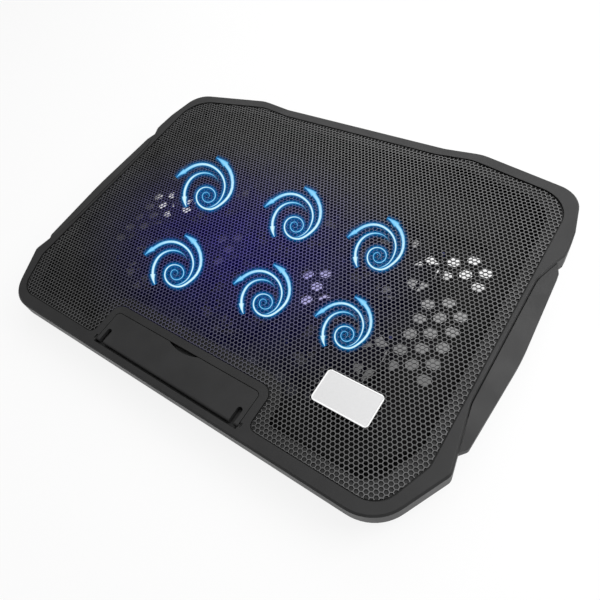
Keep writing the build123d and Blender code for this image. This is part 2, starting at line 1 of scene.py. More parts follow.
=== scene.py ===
"""Looks of the laptop cooling pad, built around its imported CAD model.

Everything is in metres in the part's own frame: +X to the user's right, +Y to the back, +Z up, with
what the pad stands on at Z = 0. The camera is set at the photograph's viewing angle.
"""

import math

import bpy
import numpy as np
from mathutils import Matrix, Vector


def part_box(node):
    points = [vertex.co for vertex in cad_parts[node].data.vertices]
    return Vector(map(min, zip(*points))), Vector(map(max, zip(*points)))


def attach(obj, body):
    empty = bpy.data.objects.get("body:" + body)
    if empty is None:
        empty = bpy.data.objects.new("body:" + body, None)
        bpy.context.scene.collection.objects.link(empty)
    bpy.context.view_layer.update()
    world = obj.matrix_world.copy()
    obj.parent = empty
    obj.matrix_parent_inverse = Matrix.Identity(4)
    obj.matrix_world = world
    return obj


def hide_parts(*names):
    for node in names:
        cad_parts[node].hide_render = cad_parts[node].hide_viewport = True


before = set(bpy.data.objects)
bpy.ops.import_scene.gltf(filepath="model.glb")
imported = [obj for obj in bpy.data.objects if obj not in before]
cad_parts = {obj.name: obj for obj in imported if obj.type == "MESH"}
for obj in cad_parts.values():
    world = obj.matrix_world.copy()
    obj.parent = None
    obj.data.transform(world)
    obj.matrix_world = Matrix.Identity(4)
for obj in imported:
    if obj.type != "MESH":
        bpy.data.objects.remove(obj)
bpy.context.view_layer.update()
MM = 0.001

# ---------------------------------------------------------------- sizes and places
# Perforated mesh
HOLE_PITCH = 3.1 * MM
HOLE_SHARE = 0.82  # a hole's width over the pitch, across the flats
HOLE_COLUMN_X = 166.3 * MM  # a hole's centre
HOLE_ROW_BACK = 60.0 * MM  # the same hole's centre, behind the front edge

# Lit air swirls above the fans: where each one's eye is seen, in pixels of the 600 px frame
SWIRL_EYES = [
    (206.6, 195.8),
    (294.6, 225.5),
    (377.5, 256.1),
    (175.0, 273.3),
    (263.6, 302.6),
    (345.0, 334.9),
]
SWIRL_LIFT = 0.12 * MM  # from the mesh to the halo, and from the halo to the core
SWIRL_HALO = 4.8  # pixels that the halo reaches beyond the core
SWIRL_VALUES = ("across", "faint", "shown")  # what each vertex of a swirl carries for its finish

# Arms of a swirl about its eye: (degrees, radius in pixels, half width in pixels)
SWIRL_ARMS = [
    [
        (-560, 1.2, 0.15),
        (-450, 2.0, 0.2),
        (-360, 2.8, 0.25),
        (-270, 3.6, 0.28),
        (-151, 4.7, 0.35),
        (-76, 6.7, 0.4),
        (6, 8.8, 0.45),
        (85, 8.6, 0.55),
        (195, 10.5, 0.8),
        (279, 13.6, 1.0),
        (339, 17.8, 1.2),
        (386, 29.0, 1.6),
        (407, 34.3, 1.9),
        (418, 36.6, 2.1),
    ],
    [
        (258, 11.6, 0.3),
        (319, 12.6, 0.5),
        (366, 16.7, 0.7),
        (395, 22.0, 0.9),
        (424, 27.4, 1.1),
        (453, 31.6, 1.3),
        (491, 32.8, 1.6),
    ],
    [
        (42, 17.5, 0.2),
        (68, 21.1, 0.4),
        (94, 23.0, 0.7),
        (125, 23.3, 1.0),
        (154, 22.5, 1.3),
        (182, 22.2, 1.4),
    ],
]
# Each arm's arrow head: (degrees and radius of its tip, half width of its base in pixels)
SWIRL_TIPS = [(436, 39.4, 3.6), (509, 35.3, 2.7), (209.6, 23.0, 2.8)]
# How faint and blue each arm is along its run: (share of the run, faintness), with its head after 1.0
SWIRL_FAINT = [
    [(0.0, 1.0), (0.35, 0.75), (0.6, 0.35), (0.72, 0.0), (0.93, 0.0), (1.0, 0.55), (1.1, 1.0)],
    [(0.0, 0.9), (0.2, 0.3), (0.5, 0.0), (0.8, 0.1), (1.0, 0.6), (1.1, 1.0)],
    [(0.0, 1.0), (0.3, 0.6), (0.6, 0.1), (1.0, 0.0), (1.1, 0.0)],
]
# How much of its run each arm takes to come in at its root
SWIRL_FADE = [0.30, 0.15, 0.30]

# Painted blue glow standing for the light of the fans' lamps: its middle and reach on the pad, and its
# colour and strength deep inside and near, on the mesh
GLOW_PLACE = (-0.022, -0.012)
GLOW_REACH = (0.170, 0.118)
GLOW_DEEP = (0.04, 0.03, 1.0, 1.0)
GLOW_NEAR = (0.07, 0.02, 1.0, 1.0)
GLOW_DEEP_STRENGTH = 0.034
GLOW_NEAR_STRENGTH = 0.24

# Paler rounds painted on the shell's floor in front of the fans, in a zigzag of two rows: painted light
# standing for light seen through vents
ROUND_PITCH = 24.6 * MM
ROUND_STEP = -3.0 * MM  # from the first row to the second
ROUND_BACK = 54.0 * MM  # front edge to the first row
ROUND_RADIUS = 4.4 * MM
ROUND_REACH = 88.0 * MM  # the rows end this far from the middle
INSIDE_SHELL = 3.5 * MM  # the shell's inner faces lie above this level

# Border of the badge and the rounding of its inner corners
BADGE_BORDER = 1.0 * MM
BADGE_ROUND = 0.8 * MM

# Screws that hold the shell: each one's distance from the middle and behind the front edge
SCREW_HEAD = 2.8 * MM
SCREW_DOME = 1.3 * MM
SHELL_SCREWS = [
    (178.4 * MM, 45.3 * MM),
    (178.4 * MM, 214.2 * MM),
    (82.4 * MM, 9.3 * MM),
    (103.5 * MM, 264.9 * MM),
]

# Camera, fitted to the photograph's perspective with a small shift
CAMERA_PLACE = (0.2153, -0.1864, 0.3348)
CAMERA_LOOK = (-0.4848, 0.3593, -0.7974)
CAMERA_RIGHT = (0.7929, 0.5653, -0.2273)
CAMERA_LENS = 33.15
CAMERA_SENSOR = 36.0
CAMERA_SHIFT = (0.0600, 0.0)
IMAGE_SIZE = 600

# Floor: its half size, its level, and the share of its white that no shadow dims
FLOOR_REACH = 6.0
FLOOR_LEVEL = -0.3 * MM
FLOOR_WHITE = 0.86

# Floor under the pad, which shows through its vents. It has painted shade this far from the middle in X
# and Y, but for white patches of painted light. Each run is from one X or Y to the next, and from one share
# of white to the next.
UNDER_PAD = (0.150, 0.085)
UNDER_PAD_EDGE = 0.010
RIGHT_VENTS_FRONT_Y = (-0.060, 0.020, 0.10, 0.38)
RIGHT_VENTS_REAR_Y = (0.030, 0.045, 0.0, 0.95)
RIGHT_VENTS_X = (0.080, 0.105, 0.06, 1.0)
LEFT_VENTS_X = (-0.105, -0.095, 1.0, 0.0)
# Round patches of painted light: middle, reach in X and Y, and the share of white away from it and at its
# middle
LEFT_VENTS = ((-0.126, 0.016), (0.030, 0.022), 0.05, 0.75)
MIDDLE_VENTS = [
    ((-0.043, -0.009), (0.024, 0.024), 0.03, 0.12),
    ((0.043, -0.009), (0.024, 0.024), 0.03, 0.75),
]
# Painted blue light of the fans on it, which is weaker beside them
UNDER_FANS_TINT = (0.36, 0.32, 0.95, 1.0)
UNDER_FANS_X = (0.07, 0.10, 1.0, 0.25)

# Light that reaches every side from the world
WORLD_LIGHT = 0.40

# Studio lamps: (place, the point it faces, size, watts)
LAMPS = {
    "top_light": ((0.15, 0.30, 1.0), (0.0, 0.0, 0.0), (0.9, 0.9), 3.0),
    "rear_light": ((0.0, 0.55, 0.45), (0.0, 0.05, 0.0), (0.6, 0.3), 0.7),
    "rear_left_light": ((-0.35, 0.50, 0.50), (0.0, 0.05, 0.0), (0.4, 0.4), 0.65),
    "rear_right_light": ((0.50, 0.26, 0.45), (0.12, 0.02, 0.02), (0.4, 0.4), 2.8),
}

# Narrow recesses within about this reach get painted shade in their colour
RECESS_SHADE_REACH = 1.6 * MM

mesh_low, mesh_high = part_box("mesh_panel")
frame_low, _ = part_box("top_frame")
FRONT_Y = frame_low.y
MESH_TOP = mesh_high.z
MESH_BOTTOM = mesh_low.z


# ---------------------------------------------------------------- node material helpers
class Shader:
    """A node material with a few short ways to add and join nodes."""

    def __init__(self, name):
        self.material = bpy.data.materials.new(name)
        self.material.use_nodes = True
        self.nodes = self.material.node_tree.nodes
        self.links = self.material.node_tree.links
        self.surface = self.nodes["Principled BSDF"]
        self.output = self.nodes["Material Output"]
        self.place = self.nodes.new("ShaderNodeTexCoord").outputs["Object"]

    def node(self, kind, inputs=None, **settings):
        made = self.nodes.new(kind)
        for key, value in settings.items():
            setattr(made, key, value)
        for key, value in (inputs or {}).items():
            self.feed(made.inputs[key], value)
        return made

    def feed(self, socket, value):
        if isinstance(value, bpy.types.NodeSocket):
            self.links.new(value, socket)
        else:
            socket.default_value = value

    def noise(self, size, detail=2.0, roughness=0.5, place=None):
        """Noise whose features are about this many metres across."""
        inputs = {"Vector": place or self.place, "Scale": 1 / size, "Detail": detail, "Roughness": roughness}
        return self.node("ShaderNodeTexNoise", inputs).outputs["Fac"]

    def math(self, operation, a, b=0.0, clamp=False):
        made = self.node("ShaderNodeMath", operation=operation, use_clamp=clamp)
        self.feed(made.inputs[0], a)
        self.feed(made.inputs[1], b)
        return made.outputs[0]

    def spread(self, value, low, high, out_low, out_high):
        """A value carried from one range to another."""
        inputs = {"Value": value, "From Min": low, "From Max": high, "To Min": out_low, "To Max": out_high}
        return self.node("ShaderNodeMapRange", inputs).outputs["Result"]

    def blend(self, share, a, b):
        made = self.node("ShaderNodeMix", data_type="RGBA")
        self.feed(made.inputs["Factor"], share)
        self.feed(made.inputs[6], a)
        self.feed(made.inputs[7], b)
        return made.outputs[2]

    def bump(self, height, distance, strength=1.0, under=None):
        inputs = {"Height": height, "Distance": distance, "Strength": strength}
        if under is not None:
            inputs["Normal"] = under
        return self.node("ShaderNodeBump", inputs).outputs["Normal"]

    def set(self, **values):
        for key, value in values.items():
            self.feed(self.surface.inputs[key.replace("_", " ")], value)
        return self


def grey(level, tint=(1.0, 1.0, 1.0)):
    """A grey of this brightness, tinted a little."""
    return (level * tint[0], level * tint[1], level * tint[2], 1.0)


def plastic_tone(s, flow=18 * MM, fleck=0.77 * MM):
    """Flow mottling and fine flecks in one value, spread over 0 to 1, and the mottling by itself."""
    mottle = s.noise(flow, detail=3.0)
    flecks = s.noise(fleck, detail=4.0, roughness=0.7)
    tone = s.math("ADD", s.math("MULTIPLY", mottle, 0.7), s.math("MULTIPLY", flecks, 0.3))
    return s.spread(tone, 0.35, 0.65, 0.0, 1.0), mottle


def moulded(
    name, level, tint=(1.0, 1.0, 1.02), roughness=0.5, grain=0.35 * MM, depth=0.03 * MM, gloss=0.35, edge=0.0
):
    """Moulded plastic: a fine spark texture, a little flow mottling and slightly polished patches.

    edge is the radius that its sharp edges look rounded to. Where one is given, painted shade also
    darkens the colour in narrow recesses.
    """
    s = Shader(name)
    tone, _ = plastic_tone(s, fleck=grain * 2.2)
    colour = s.blend(tone, grey(level * 0.88, tint), grey(level * 1.12, tint))
    if edge:
        # Painted shade: ambient occlusion darkens the colour in narrow recesses
        clear = s.node("ShaderNodeAmbientOcclusion", {"Distance": RECESS_SHADE_REACH}, samples=6).outputs["AO"]
        colour = s.blend(s.spread(clear, 0.35, 0.80, 0.0, 1.0), grey(level * 0.12, tint), colour)
    polish = s.spread(s.noise(30 * MM, detail=4.0), 0.3, 0.7, roughness - 0.06, roughness + 0.06)
    soft = s.node("ShaderNodeBevel", {"Radius": edge}, samples=4).outputs["Normal"] if edge else None
    texture = s.bump(s.noise(grain, detail=3.0, roughness=0.6), depth, under=soft)
    s.set(Base_Color=colour, Roughness=polish, Normal=texture, Specular_IOR_Level=gloss)
    return s.material


def metal(name, colour, roughness, metallic=1.0, brush=0.25 * MM, depth=0.004 * MM, along=(1.0, 12.0, 12.0)):
    """Sheet metal with a fine brushed or rolled grain."""
    s = Shader(name)
    stretched = s.node("ShaderNodeMapping", {"Vector": s.place, "Scale": along}).outputs["Vector"]
    streaks = s.noise(brush * 12, detail=6.0, roughness=0.7, place=stretched)
    dark = tuple(c * 0.9 for c in colour) + (1.0,)
    bright = tuple(min(1.0, c * 1.08) for c in colour) + (1.0,)
    s.set(Base_Color=s.blend(streaks, dark, bright), Metallic=metallic, Normal=s.bump(streaks, depth))
    s.set(Roughness=s.spread(streaks, 0.3, 0.7, roughness - 0.05, roughness + 0.05))
    return s.material


# ---------------------------------------------------------------- materials
frame_plastic = moulded("frame_plastic", 0.020, roughness=0.46, edge=0.45 * MM)
wing_plastic = moulded("wing_plastic", 0.014, roughness=0.5, edge=0.45 * MM)
stop_plastic = moulded("stop_plastic", 0.022, roughness=0.48, edge=0.3 * MM)
foot_plastic = moulded("foot_plastic", 0.020, roughness=0.5)
wheel_plastic = moulded("wheel_plastic", 0.016, roughness=0.45)
tongue_plastic = moulded("tongue_plastic", 0.014, roughness=0.4, depth=0.01 * MM)
pot_plastic = moulded("pot_plastic", 0.025, tint=(0.8, 0.9, 1.2), roughness=0.4, depth=0.01 * MM)
rubber = moulded("pad_rubber", 0.016, roughness=0.8, grain=0.9 * MM, depth=0.06 * MM)
board_mask = moulded("board", 0.05, tint=(0.2, 1.0, 0.5), roughness=0.3, grain=0.6 * MM, depth=0.01 * MM)
socket_metal = metal("socket_metal", (0.72, 0.72, 0.74), 0.28)
screw_metal = metal("screw_metal", (0.18, 0.18, 0.19), 0.35)


def glow_share(s, centre, reach):
    """1 at a place on the pad and falling smoothly to 0 at the given reaches in X and Y."""
    moved = s.node("ShaderNodeVectorMath", operation="SUBTRACT")
    s.feed(moved.inputs[0], s.place)
    s.feed(moved.inputs[1], (centre[0], centre[1], MESH_TOP))
    scaled = s.node("ShaderNodeVectorMath", operation="MULTIPLY")
    s.feed(scaled.inputs[0], moved.outputs[0])
    s.feed(scaled.inputs[1], (1 / reach[0], 1 / reach[1], 0.0))
    length = s.node("ShaderNodeVectorMath", operation="LENGTH")
    s.feed(length.inputs[0], scaled.outputs[0])
    inputs = {"Value": length.outputs["Value"], "To Min": 1.0, "To Max": 0.0}
    return s.node("ShaderNodeMapRange", inputs, interpolation_type="SMOOTHSTEP").outputs["Result"]


def lit_inside(name, level):
    """Black moulding inside the pad, with a painted deep blue glow standing for the lamps' light."""
    s = Shader(name)
    mottle = s.noise(9 * MM, detail=4.0)
    s.set(Base_Color=s.blend(mottle, grey(level * 0.8), grey(level * 1.25, (1.0, 1.0, 1.1))))
    s.set(Roughness=s.spread(mottle, 0.3, 0.7, 0.38, 0.5), Specular_IOR_Level=0.08)
    s.set(Normal=s.bump(s.noise(0.4 * MM, detail=3.0), 0.01 * MM))
    # Painted glow: blue emission by place round the fans, standing for the lamps' light
    share = s.math("MULTIPLY", glow_share(s, GLOW_PLACE, GLOW_REACH), s.spread(mottle, 0.3, 0.7, 0.6, 1.2))
    s.set(Emission_Color=GLOW_DEEP, Emission_Strength=s.math("MULTIPLY", share, GLOW_DEEP_STRENGTH))
    return s.material


def shell_finish(name, level):
    """Shell plastic, with its inner faces painted near black as shade, two rows of paler rounds painted on
    its floor before the fans, standing for light seen through vents, and a painted blue glow inside.
    """
    s = Shader(name)
    tone, mottle = plastic_tone(s, fleck=1.1 * MM)
    colour = s.blend(tone, grey(level * 0.85), grey(level * 1.15, (1.0, 1.0, 1.05)))
    place = s.node("ShaderNodeSeparateXYZ", {"Vector": s.place})
    rounds = None
    for row in (0, 1):
        shift = row / 2
        x = s.math("WRAP", place.outputs["X"], ROUND_PITCH * (1 - shift))
        x.node.inputs[2].default_value = -ROUND_PITCH * shift
        across = s.math("SUBTRACT", x, ROUND_PITCH * (0.5 - shift))
        along = s.math("SUBTRACT", place.outputs["Y"], FRONT_Y + ROUND_BACK + row * ROUND_STEP)
        away = s.math("SQRT", s.math("ADD", s.math("POWER", across, 2.0), s.math("POWER", along, 2.0)))
        spot = s.spread(away, ROUND_RADIUS * 0.85, ROUND_RADIUS * 1.05, 1.0, 0.0)
        rounds = spot if rounds is None else s.math("MAXIMUM", rounds, spot)
    geometry = s.node("ShaderNodeNewGeometry")
    facing = s.node("ShaderNodeSeparateXYZ", {"Vector": geometry.outputs["True Normal"]})
    inside = s.math("GREATER_THAN", place.outputs["Z"], INSIDE_SHELL)
    inside = s.math("MULTIPLY", inside, s.math("GREATER_THAN", facing.outputs["Z"], 0.05))
    near = s.math("LESS_THAN", s.math("ABSOLUTE", place.outputs["X"]), ROUND_REACH)
    rounds = s.math("MULTIPLY", rounds, s.math("MULTIPLY", inside, near))
    # Painted shade: the inner faces are near black, far darker than the shell's outside
    colour = s.blend(inside, colour, grey(0.006))
    # Painted light: paler rounds standing for light seen through vents
    colour = s.blend(rounds, colour, grey(0.07, (0.9, 0.92, 1.15)))
    # Painted glow: blue emission by place on the inner faces round the fans
    share = s.math("MULTIPLY", glow_share(s, GLOW_PLACE, GLOW_REACH), inside)
    s.set(Base_Color=colour, Roughness=s.spread(mottle, 0.3, 0.7, 0.52, 0.66), Specular_IOR_Level=0.15)
    s.set(Normal=s.bump(s.noise(0.5 * MM, detail=3.0), 0.05 * MM))
    s.set(Emission_Color=GLOW_DEEP, Emission_Strength=s.math("MULTIPLY", share, GLOW_DEEP_STRENGTH))
    return s.material


def badge_finish():
    """Satin silver face inside a narrow paler border, told apart by how near the plate's edge is."""
    s = Shader("badge_metal")
    low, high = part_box("badge_plate")
    place = s.node("ShaderNodeSeparateXYZ", {"Vector": s.place})
    along = s.math("ABSOLUTE", s.math("SUBTRACT", place.outputs["X"], (low.x + high.x) / 2))
    across = s.math("ABSOLUTE", s.math("SUBTRACT", place.outputs["Y"], (low.y + high.y) / 2))
    along = s.math("SUBTRACT", (high.x - low.x) / 2 - BADGE_BORDER - BADGE_ROUND, along)
    across = s.math("SUBTRACT", (high.y - low.y) / 2 - BADGE_BORDER - BADGE_ROUND, across)
    along = s.math("MULTIPLY", s.math("MINIMUM", along, 0.0), -1.0)
    across = s.math("MULTIPLY", s.math("MINIMUM", across, 0.0), -1.0)
    away = s.math("SQRT", s.math("ADD", s.math("POWER", along, 2.0), s.math("POWER", across, 2.0)))
    border = s.spread(away, BADGE_ROUND, BADGE_ROUND + 0.25 * MM, 0.0, 1.0)
    grain = s.noise(1.2 * MM, detail=5.0, roughness=0.7)
    face = s.blend(grain, grey(0.67), grey(0.74, (1.0, 1.0, 1.01)))
    s.set(Base_Color=s.blend(border, face, grey(0.97)), Metallic=0.0)
    s.set(Roughness=s.spread(grain, 0.3, 0.7, 0.30, 0.42))
    lip = s.bump(border, 0.15 * MM)
    s.set(Normal=s.bump(grain, 0.004 * MM, under=lip))
    return s.material


def mesh_finish():
    """Powder-coated sheet, with a painted blue glow and a darker blue tint round the fans, standing for the
    lamps below it.
    """
    s = Shader("mesh_metal")
    orange_peel = s.noise(0.5 * MM, detail=3.0, roughness=0.6)
    worn = s.noise(22 * MM, detail=4.0)
    tone = s.blend(s.spread(worn, 0.35, 0.65, 0.0, 1.0), grey(0.056), grey(0.080, (1.0, 1.0, 1.02)))
    share = glow_share(s, GLOW_PLACE, GLOW_REACH)
    # Painted blue light: the coat is darker and bluer round the fans
    s.set(Base_Color=s.blend(share, tone, grey(0.022, (0.85, 0.82, 1.25))), Metallic=0.2)
    s.set(Specular_IOR_Level=1.0)
    s.set(Roughness=s.spread(worn, 0.3, 0.7, 0.34, 0.42), Normal=s.bump(orange_peel, 0.02 * MM))
    # Painted glow: patchy blue emission round the fans, standing for the lamps below
    patchy = s.math("MULTIPLY", share, s.spread(s.noise(9 * MM, detail=3.0), 0.3, 0.7, 0.6, 1.0))
    s.set(Emission_Color=GLOW_NEAR, Emission_Strength=s.math("MULTIPLY", patchy, GLOW_NEAR_STRENGTH))
    return s.material


def lamp_finish(name, colour, strength):
    """A lit lens, a little uneven as a moulded diffuser is."""
    s = Shader(name)
    uneven = s.noise(2.5 * MM, detail=2.0)
    s.set(Base_Color=colour, Roughness=0.3, Emission_Color=colour)
    s.set(Emission_Strength=s.spread(uneven, 0.3, 0.7, strength * 0.85, strength * 1.15))
    return s.material


def film_values(s):
    """A swirl's own values: across the arm, how faint it is, how much of it shows, and a slight shimmer."""
    values = [s.node("ShaderNodeAttribute", attribute_name=key).outputs["Fac"] for key in SWIRL_VALUES]
    return values + [s.spread(s.noise(1.6 * MM, detail=3.0), 0.3, 0.7, 0.92, 1.08)]


def core_finish():
    """Light along a swirl's arm: whitest in its middle, and bluer at its edges and where it is faint."""
    s = Shader("swirl_core")
    across, faint, shown, shimmer = film_values(s)
    ridge = s.blend(s.spread(faint, 0.0, 0.55, 0.0, 1.0), (0.78, 0.99, 1.0, 1.0), (0.28, 0.70, 1.0, 1.0))
    ridge = s.blend(s.spread(faint, 0.75, 1.0, 0.0, 1.0), ridge, (0.14, 0.50, 0.95, 1.0))
    edge = s.blend(faint, (0.14, 0.62, 1.0, 1.0), (0.02, 0.30, 0.75, 1.0))
    s.set(Base_Color=(0.0, 0.0, 0.0, 1.0), Roughness=0.6, Specular_IOR_Level=0.0)
    s.set(Emission_Color=s.blend(s.math("POWER", across, 1.6), ridge, edge), Emission_Strength=shimmer)
    side = s.spread(across, 0.65, 1.0, 1.0, 0.35)
    s.set(Alpha=s.math("MULTIPLY", s.spread(shown, 0.0, 1.0, 0.05, 1.0), side))
    return s.material


def halo_finish():
    """Blue shine round a swirl's arm, thinning to nothing at its edge."""
    s = Shader("swirl_halo")
    across, faint, shown, shimmer = film_values(s)
    body = s.math("POWER", s.math("SUBTRACT", 1.0, across, clamp=True), 1.8)
    tint = s.blend(s.math("POWER", body, 0.6), (0.0, 0.07, 0.34, 1.0), (0.0, 0.25, 0.62, 1.0))
    s.set(Base_Color=(0.0, 0.0, 0.0, 1.0), Roughness=0.6, Specular_IOR_Level=0.0)
    s.set(Emission_Color=tint, Emission_Strength=shimmer)
    thin = s.math("MULTIPLY", shown, s.spread(faint, 0.0, 1.0, 0.90, 0.70))
    s.set(Alpha=s.math("MULTIPLY", body, thin))
    return s.material


shell_plastic = shell_finish("shell_plastic", 0.028)
fan_plastic = lit_inside("fan_plastic", 0.005)
rotor_plastic = lit_inside("rotor_plastic", 0.006)
mesh_metal = mesh_finish()
# Painted shade: the mesh sheet's hole walls take this near black finish, far darker than its top
mesh_wall_painted_shade = moulded("mesh_wall_painted_shade", 0.004, roughness=0.6, grain=0.3 * MM, depth=0.01 * MM, gloss=0.05)
badge_metal = badge_finish()
led_lens = lamp_finish("led_lens", (0.01, 0.015, 0.10, 1.0), 0.25)
swirl_core = core_finish()
swirl_halo = halo_finish()

FINISHES = {
    "top_frame": frame_plastic,
    "side_wing_left": wing_plastic,
    "side_wing_right": wing_plastic,
    "laptop_stop": stop_plastic,
    "bottom_shell": shell_plastic,
    "mesh_panel": mesh_metal,
    "badge_plate": badge_metal,
    "fan_leds": led_lens,
    "control_board": board_mask,
    "usb_tongues": tongue_plastic,
    "usb_socket_power": socket_metal,
    "usb_socket_device": socket_metal,
    "speed_pot": pot_plastic,
    "speed_wheel": wheel_plastic,
    "rear_foot_left": foot_plastic,
    "rear_foot_right": foot_plastic,
    "foot_tip_left": rubber,
    "foot_tip_right": rubber,
    "rest_pads": rubber,
}
for name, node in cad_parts.items():
    finish = FINISHES.get(name) or (rotor_plastic if name.startswith("fan_rotor") else fan_plastic)
    node.data.materials.clear()
    node.data.materials.append(finish)


# ---------------------------------------------------------------- mesh building helpers
def piece(name, vertices, faces, finish, body, values=None, second=None):
    """A new piece of the pad, riding on a body, with named values at its vertices.

    second is another finish and the faces, told by 0 or 1, that take it.
    """
    data = bpy.data.meshes.new(name)
    data.from_pydata([tuple(v) for v in vertices], [], [tuple(f) for f in faces])
    data.update()
    for key, numbers in (values or {}).items():
        layer = data.attributes.new(key, "FLOAT", "POINT")
        layer.data.foreach_set("value", np.asarray(numbers, np.float32))
    data.materials.append(finish)
    if second is not None:
        data.materials.append(second[0])
        data.polygons.foreach_set("material_index", np.asarray(second[1], np.int32))
    made = bpy.data.objects.new(name, data)
    bpy.context.scene.collection.objects.link(made)
    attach(made, body)
    return made


def rim_of(node, level):
    """The outer edge of a node's flat face at this level, as points in order."""
    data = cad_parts[node].data
    key = [(round(v.co.x, 6), round(v.co.y, 6)) for v in data.vertices]
    flat = [abs(v.co.z - level) < 1e-6 for v in data.vertices]
    edges = {}
    for polygon in data.polygons:
        corners = list(polygon.vertices)
        if all(flat[c] for c in corners):
            for a, b in zip(corners, corners[1:] + corners[:1]):
                edges[(key[a], key[b])] = True
    # An edge with a face on one side only is on a rim
    after = {a: b for a, b in edges if (b, a) not in edges and a != b}
    rims = []
    while after:
        start = next(iter(after))
        rim = [start]
        step = after.pop(start)
        while step != start:
            rim.append(step)
            step = after.pop(step)
        rims.append(np.array(rim))
    return max(rims, key=lambda rim: np.ptp(rim[:, 0]))


# ---------------------------------------------------------------- perforated mesh
def clip(corners, point, inward):
    """The part of a convex polygon on the inner side of a line."""
    kept = []
    side = [(c[:2] - point) @ inward for c in corners]
    for i, corner in enumerate(corners):
        nxt = (i + 1) % len(corners)
        if side[i] >= 0:
            kept.append(corner)
        if side[i] * side[nxt] < 0:
            kept.append(corner + (corners[nxt] - corner) * side[i] / (side[i] - side[nxt]))
    return kept


rim = rim_of("mesh_panel", MESH_TOP)
starts, ends = rim, np.roll(rim, -1, axis=0)
runs = ends - starts
turn = np.sum(starts[:, 0] * ends[:, 1] - ends[:, 0] * starts[:, 1])
inwards = np.stack([-runs[:, 1], runs[:, 0]], axis=1) * np.sign(turn)
inwards /= np.linalg.norm(inwards, axis=1)[:, None]

row_step = HOLE_PITCH * math.sqrt(3) / 2
cell_reach = HOLE_PITCH / math.sqrt(3)
hole_reach = cell_reach * HOLE_SHARE
corner_turns = np.radians(30 + 60 * np.arange(6))
corner_ways = np.stack([np.cos(corner_turns), np.sin(corner_turns)], axis=1)
first_row = int(math.floor((mesh_low.y - FRONT_Y - HOLE_ROW_BACK) / row_step)) - 1
last_row = int(math.ceil((mesh_high.y - FRONT_Y - HOLE_ROW_BACK) / row_step)) + 1
first_column = int(math.floor((mesh_low.x - HOLE_COLUMN_X) / HOLE_PITCH)) - 1
last_column = int(math.ceil((mesh_high.x - HOLE_COLUMN_X) / HOLE_PITCH)) + 1

vertices, faces, walls = [], [], []
for row in range(first_row, last_row + 1):
    for column in range(first_column, last_column + 1):
        centre = np.array(
            [
                HOLE_COLUMN_X + (column + (row % 2) / 2) * HOLE_PITCH,
                FRONT_Y + HOLE_ROW_BACK + row * row_step,
            ]
        )
        share = np.clip(np.sum((centre - starts) * runs, axis=1) / np.sum(runs * runs, axis=1), 0, 1)
        offsets = centre - (starts + runs * share[:, None])
        distances = np.linalg.norm(offsets, axis=1)
        nearest = int(np.argmin(distances))
        # At a corner two runs are equally near, and the one that the cell is most outside decides
        ties = np.where(distances < distances[nearest] + 1e-7)[0]
        nearest = min(ties, key=lambda i: offsets[i] @ inwards[i])
        inside = offsets[nearest] @ inwards[nearest] > 0
        if not inside and distances[nearest] > cell_reach:
            continue
        whole = inside and distances[nearest] > cell_reach
        cell = centre + corner_ways * cell_reach
        hole = centre + corner_ways * hole_reach
        base = len(vertices)
        if whole:
            vertices += [(*c, MESH_TOP) for c in cell]
            vertices += [(*h, MESH_TOP) for h in hole]
            vertices += [(*h, MESH_BOTTOM) for h in hole]
            for i in range(6):
                j = (i + 1) % 6
                faces.append((base + i, base + j, base + 6 + j, base + 6 + i))
                faces.append((base + 6 + i, base + 6 + j, base + 12 + j, base + 12 + i))
                walls += [0, 1]
            continue
        for i in range(6):
            j = (i + 1) % 6
            top = [np.array([*p, MESH_TOP]) for p in (cell[i], cell[j], hole[j], hole[i])]
            wall = [
                np.array([*hole[i], MESH_TOP]),
                np.array([*hole[j], MESH_TOP]),
                np.array([*hole[j], MESH_BOTTOM]),
                np.array([*hole[i], MESH_BOTTOM]),
            ]
            for shaded, corners in enumerate((top, wall)):
                kept = clip(corners, starts[nearest], inwards[nearest])
                if len(kept) >= 3:
                    faces.append(tuple(range(len(vertices), len(vertices) + len(kept))))
                    walls.append(shaded)
                    vertices += [tuple(c) for c in kept]

# Cut edge of the sheet all round
base = len(vertices)
vertices += [(*p, MESH_TOP) for p in rim] + [(*p, MESH_BOTTOM) for p in rim]
for i in range(len(rim)):
    j = (i + 1) % len(rim)
    faces.append((base + i, base + j, base + len(rim) + j, base + len(rim) + i))
    walls.append(0)
# The hole walls take the near black finish of painted shade
finishes = (mesh_wall_painted_shade, walls)
honeycomb = piece("honeycomb_sheet", vertices, faces, mesh_metal, "pad", second=finishes)
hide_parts("mesh_panel")

# ---------------------------------------------------------------- camera
look = Vector(CAMERA_LOOK).normalized()
right = Vector(CAMERA_RIGHT)
right = (right - look * right.dot(look)).normalized()
up = right.cross(look)
camera_data = bpy.data.cameras.new("camera")
camera_data.lens = CAMERA_LENS
camera_data.sensor_width = CAMERA_SENSOR
camera_data.shift_x, camera_data.shift_y = CAMERA_SHIFT
camera_data.clip_start = 0.01
camera = bpy.data.objects.new("camera", camera_data)
turned = Matrix((right, up, -look)).transposed().to_4x4()
camera.matrix_world = Matrix.Translation(CAMERA_PLACE) @ turned
bpy.context.scene.collection.objects.link(camera)
bpy.context.scene.camera = camera


def seen_on(px, py, level):
    """The place at this level that the camera sees at a pixel of the photograph's frame."""
    across = (px / IMAGE_SIZE - 0.5 + CAMERA_SHIFT[0]) * CAMERA_SENSOR / CAMERA_LENS
    above = (0.5 - py / IMAGE_SIZE + CAMERA_SHIFT[1]) * CAMERA_SENSOR / CAMERA_LENS
    ray = look + right * across + up * above
    return Vector(CAMERA_PLACE) + ray * ((level - CAMERA_PLACE[2]) / ray.z)


